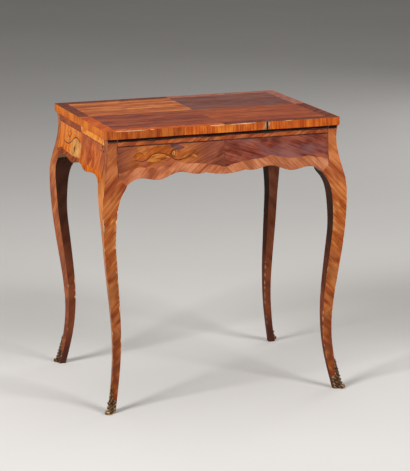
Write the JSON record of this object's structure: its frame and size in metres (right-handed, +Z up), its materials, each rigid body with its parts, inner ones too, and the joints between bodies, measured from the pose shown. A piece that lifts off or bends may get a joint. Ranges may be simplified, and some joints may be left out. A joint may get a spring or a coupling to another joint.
{
  "type": "writing table",
  "caption": "Small veneered writing table on cabriole legs with bronze foot mounts, a lobed top, scalloped aprons and a locking drawer in its right end.",
  "frame": {"origin": "on the floor, under the middle of the table", "axes": "+Z up, -Y towards the front with the lobed edge, +X towards the end with the drawer"},
  "size_m": [0.6654, 0.5234, 0.72],
  "materials": {
    "light_field_veneer": "waxed",
    "dark_field_veneer": "waxed",
    "light_border_veneer": "waxed",
    "dark_border_veneer": "waxed",
    "edge_banding": "waxed",
    "marquetry_veneer": "waxed",
    "oak": "bare, darkened",
    "gilt_bronze": "dark patina",
    "lock_steel": "filed",
    "forged_iron": "forged"
  },
  "bodies": {
    "table": {"apron_front": "marquetry_veneer", "apron_left": "marquetry_veneer", "apron_rear": "marquetry_veneer", "drawer_guide_front": "oak", "drawer_guide_rear": "oak", "drawer_kicker_front": "oak", "drawer_kicker_rear": "oak", "drawer_runner_front": "oak", "drawer_runner_rear": "oak", "glue_blocks": "oak", "keeper_pins": "forged_iron", "leg_front_left": "marquetry_veneer", "leg_front_right": "marquetry_veneer", "leg_rear_left": "marquetry_veneer", "leg_rear_right": "marquetry_veneer", "lock_keeper": "gilt_bronze", "right_bearer_rail": "oak", "right_upper_rail": "oak", "sabot_front_left": "gilt_bronze", "sabot_front_right": "gilt_bronze", "sabot_pins": "forged_iron", "sabot_rear_left": "gilt_bronze", "sabot_rear_right": "gilt_bronze", "tenon_pegs": "oak", "top_border_front_left": "light_border_veneer", "top_border_front_right": "dark_border_veneer", "top_border_rear_left": "dark_border_veneer", "top_border_rear_right": "light_border_veneer", "top_core": "oak", "top_edge_back": "edge_banding", "top_edge_front_centre": "edge_banding", "top_edge_front_left": "edge_banding", "top_edge_front_right": "edge_banding", "top_edge_left": "edge_banding", "top_edge_right": "edge_banding", "top_field_front_left": "dark_field_veneer", "top_field_front_right": "light_field_veneer", "top_field_rear_left": "light_field_veneer", "top_field_rear_right": "dark_field_veneer", "top_screws": "forged_iron"},
    "drawer": {"drawer_front": "marquetry_veneer", "drawer_side_front": "oak", "drawer_side_rear": "oak", "drawer_back": "oak", "drawer_bottom": "oak", "drawer_bottom_nails": "forged_iron", "drawer_divider": "oak", "lock_case": "lock_steel", "lock_screws": "forged_iron", "keyhole_escutcheon": "gilt_bronze"},
    "key": {"key": "lock_steel"},
    "lock_bolt": {"lock_bolt": "lock_steel"}
  },
  "joints": [
    {"name": "drawer_slide", "type": "slide", "parent": "table", "child": "drawer", "axis": [1, 0, 0], "range_m": [0, 0.3]},
    {"name": "key_turn", "type": "hinge", "parent": "drawer", "child": "key", "pos_m": [0.305, 0, 0.6552], "axis": [1, 0, 0], "range_deg": [0, 180]},
    {"name": "bolt_throw", "type": "slide", "parent": "drawer", "child": "lock_bolt", "axis": [0, 0, 1], "range_m": [0, 0.008]}
  ],
  "couplings": [
    {"joint": "key_turn", "follows": "bolt_throw", "rad_per_m": 392.69}
  ]
}
